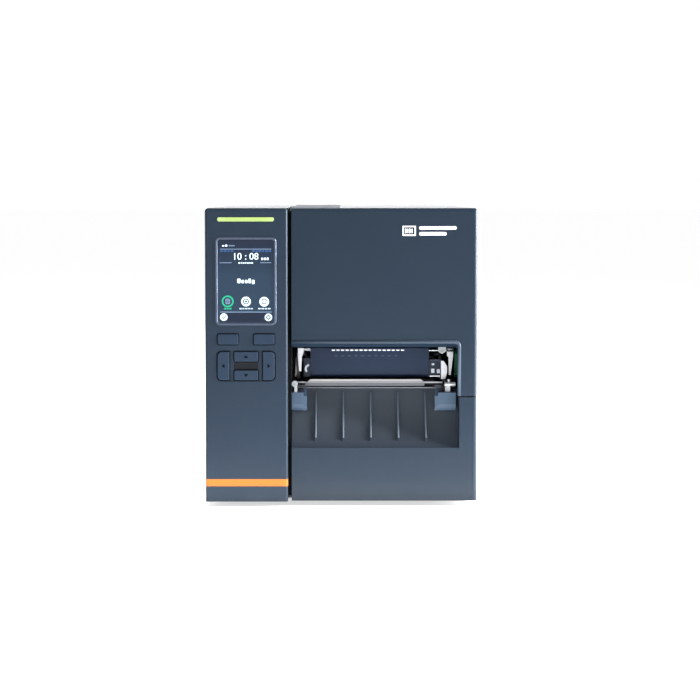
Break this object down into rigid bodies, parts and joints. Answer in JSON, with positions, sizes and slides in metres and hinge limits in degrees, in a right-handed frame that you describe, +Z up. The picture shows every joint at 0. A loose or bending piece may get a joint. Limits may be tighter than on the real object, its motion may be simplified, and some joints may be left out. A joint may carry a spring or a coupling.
{
  "type": "label printer",
  "caption": "Bench-top label printer with a touch-screen panel on the left and a hinged door over its label and ribbon compartment on the right.",
  "frame": {"origin": "middle of the footprint, on the surface that the feet stand on", "axes": "+X right as seen from the front, +Y towards the rear panel, +Z up"},
  "size_m": [0.248, 0.436, 0.274],
  "materials": {
    "body_paint": "fine satin powder coat",
    "bezel_plastic": "fine moulded texture",
    "stripe": "smooth",
    "light_lens": "translucent lens",
    "silver_trim": "silver paint",
    "display_glass": "touch glass, dark",
    "board": "solder mask",
    "display_metal": "satin",
    "connector_metal": "nickel plate",
    "cage": "zinc plate",
    "black_plastic": "moulded",
    "key_rubber": "soft satin",
    "frame_cast": "milled casting",
    "plated_steel": "zinc plate",
    "bright_steel": "ground",
    "bronze": "sintered bronze",
    "gear_plastic": "acetal",
    "motor_black": "satin",
    "platen_rubber": "ground",
    "foot_rubber": "moulded",
    "guard_plastic": "moulded",
    "navy_plastic": "moulded",
    "head_cast": "die-cast",
    "lever_green": "moulded",
    "spindle_plastic": "moulded",
    "guide_plastic": "moulded",
    "hinge_steel": "painted",
    "smoked_pane": "smoked polycarbonate"
  },
  "bodies": {
    "root": {"accent_stripe": "stripe", "base_pan": "body_paint", "bearing_clips": "bright_steel", "centre_wall": "frame_cast", "control_board": "board", "drive_motors": "motor_black", "drive_plate": "frame_cast", "electronics_cover": "body_paint", "front_bezel": "bezel_plastic", "hinge_brackets": "plated_steel", "io_connectors": "connector_metal", "label_plate": "plated_steel", "lcd_module": "display_metal", "light_bar": "light_lens", "lower_front_cover": "body_paint", "main_board": "board", "pivot_studs": "bright_steel", "platen_end_blocks": "guard_plastic", "power_entry": "black_plastic", "power_supply": "cage", "rear_panel": "body_paint", "rear_screws": "bright_steel", "roll_holder": "plated_steel", "rubber_feet": "foot_rubber", "screen_frame": "silver_trim", "screen_glass": "display_glass", "shaft_bushes": "bronze", "side_plates": "plated_steel", "tear_bar": "bright_steel", "tie_rods": "bright_steel"},
    "door": {"door_shell": "body_paint", "door_window": "smoked_pane", "door_grip": "guide_plastic", "door_hinge_leaves": "hinge_steel"},
    "print_head_arm": {"head_cover": "navy_plastic", "head_bracket": "head_cast", "print_head": "head_cast", "head_arms": "plated_steel", "head_cross_rod": "bright_steel", "head_end_blocks": "navy_plastic"},
    "lever": {"head_lever": "lever_green"},
    "platen": {"platen_roller": "platen_rubber", "platen_shaft": "bright_steel", "platen_gear": "gear_plastic"},
    "idler": {"idler_gear": "gear_plastic"},
    "platen_drive": {"platen_pinion": "bright_steel"},
    "ribbon_rewind": {"rewind_spindle": "spindle_plastic", "rewind_gear": "gear_plastic"},
    "ribbon_drive": {"ribbon_pinion": "bright_steel"},
    "ribbon_supply": {"supply_spindle": "spindle_plastic"},
    "roll_guide": {"roll_guide": "guide_plastic"},
    "edge_guide": {"edge_guide": "guide_plastic"},
    "tension_arm": {"tension_arm": "plated_steel"},
    "rocker": {"power_rocker": "black_plastic"},
    "key_up": {"key_up": "key_rubber"},
    "key_down": {"key_down": "key_rubber"},
    "key_left": {"key_left": "key_rubber"},
    "key_right": {"key_right": "key_rubber"},
    "key_soft_left": {"key_soft_left": "key_rubber"},
    "key_soft_right": {"key_soft_right": "key_rubber"}
  },
  "joints": [
    {"name": "door_hinge", "type": "hinge", "parent": "root", "child": "door", "pos_m": [-0.0473, 0, 0.2728], "axis": [0, -1, 0], "range_deg": [0, 130]},
    {"name": "head_pivot", "type": "hinge", "parent": "root", "child": "print_head_arm", "pos_m": [0.025, -0.105, 0.132], "axis": [-1, 0, 0], "range_deg": [0, 25]},
    {"name": "lever_pivot", "type": "hinge", "parent": "root", "child": "lever", "pos_m": [0.1073, -0.118, 0.138], "axis": [-1, 0, 0], "range_deg": [0, 75]},
    {"name": "platen_spin", "type": "hinge", "parent": "root", "child": "platen", "pos_m": [0.027, -0.155, 0.105], "axis": [1, 0, 0], "continuous": true},
    {"name": "idler_spin", "type": "hinge", "parent": "root", "child": "idler", "pos_m": [-0.057, -0.12633, 0.08493], "axis": [1, 0, 0], "continuous": true},
    {"name": "platen_motor_spin", "type": "hinge", "parent": "root", "child": "platen_drive", "pos_m": [-0.057, -0.10411, 0.10357], "axis": [1, 0, 0], "continuous": true},
    {"name": "rewind_spin", "type": "hinge", "parent": "root", "child": "ribbon_rewind", "pos_m": [0.015, -0.15, 0.215], "axis": [1, 0, 0], "continuous": true},
    {"name": "ribbon_motor_spin", "type": "hinge", "parent": "root", "child": "ribbon_drive", "pos_m": [-0.057, -0.12142, 0.1985], "axis": [1, 0, 0], "continuous": true},
    {"name": "supply_spin", "type": "hinge", "parent": "root", "child": "ribbon_supply", "pos_m": [0.015, -0.06, 0.215], "axis": [1, 0, 0], "continuous": true},
    {"name": "roll_guide_slide", "type": "slide", "parent": "root", "child": "roll_guide", "axis": [1, 0, 0], "range_m": [-0.1, 0]},
    {"name": "edge_guide_slide", "type": "slide", "parent": "root", "child": "edge_guide", "axis": [1, 0, 0], "range_m": [-0.075, 0.003]},
    {"name": "tension_pivot", "type": "hinge", "parent": "root", "child": "tension_arm", "pos_m": [-0.043, -0.036, 0.07], "axis": [1, 0, 0], "range_deg": [0, 25], "stiffness_Nm_per_rad": 0.05, "springref_deg": -20.05},
    {"name": "rocker_pivot", "type": "hinge", "parent": "root", "child": "rocker", "pos_m": [-0.086, 0.2125, 0.07], "axis": [0, 0, -1], "range_deg": [0, 17]},
    {"name": "key_up_press", "type": "slide", "parent": "root", "child": "key_up", "axis": [0, 1, 0], "range_m": [0, 0.0007], "stiffness_N_per_m": 400, "springref_m": -0.001},
    {"name": "key_down_press", "type": "slide", "parent": "root", "child": "key_down", "axis": [0, 1, 0], "range_m": [0, 0.0007], "stiffness_N_per_m": 400, "springref_m": -0.001},
    {"name": "key_left_press", "type": "slide", "parent": "root", "child": "key_left", "axis": [0, 1, 0], "range_m": [0, 0.0007], "stiffness_N_per_m": 400, "springref_m": -0.001},
    {"name": "key_right_press", "type": "slide", "parent": "root", "child": "key_right", "axis": [0, 1, 0], "range_m": [0, 0.0007], "stiffness_N_per_m": 400, "springref_m": -0.001},
    {"name": "key_soft_left_press", "type": "slide", "parent": "root", "child": "key_soft_left", "axis": [0, 1, 0], "range_m": [0, 0.0007], "stiffness_N_per_m": 400, "springref_m": -0.001},
    {"name": "key_soft_right_press", "type": "slide", "parent": "root", "child": "key_soft_right", "axis": [0, 1, 0], "range_m": [0, 0.0007], "stiffness_N_per_m": 400, "springref_m": -0.001}
  ],
  "couplings": [
    {"joint": "lever_pivot", "follows": "head_pivot", "ratio": 3},
    {"joint": "idler_spin", "follows": "platen_spin", "ratio": -0.75},
    {"joint": "platen_motor_spin", "follows": "platen_spin", "ratio": 1.6667},
    {"joint": "ribbon_motor_spin", "follows": "rewind_spin", "ratio": -2.6667}
  ]
}
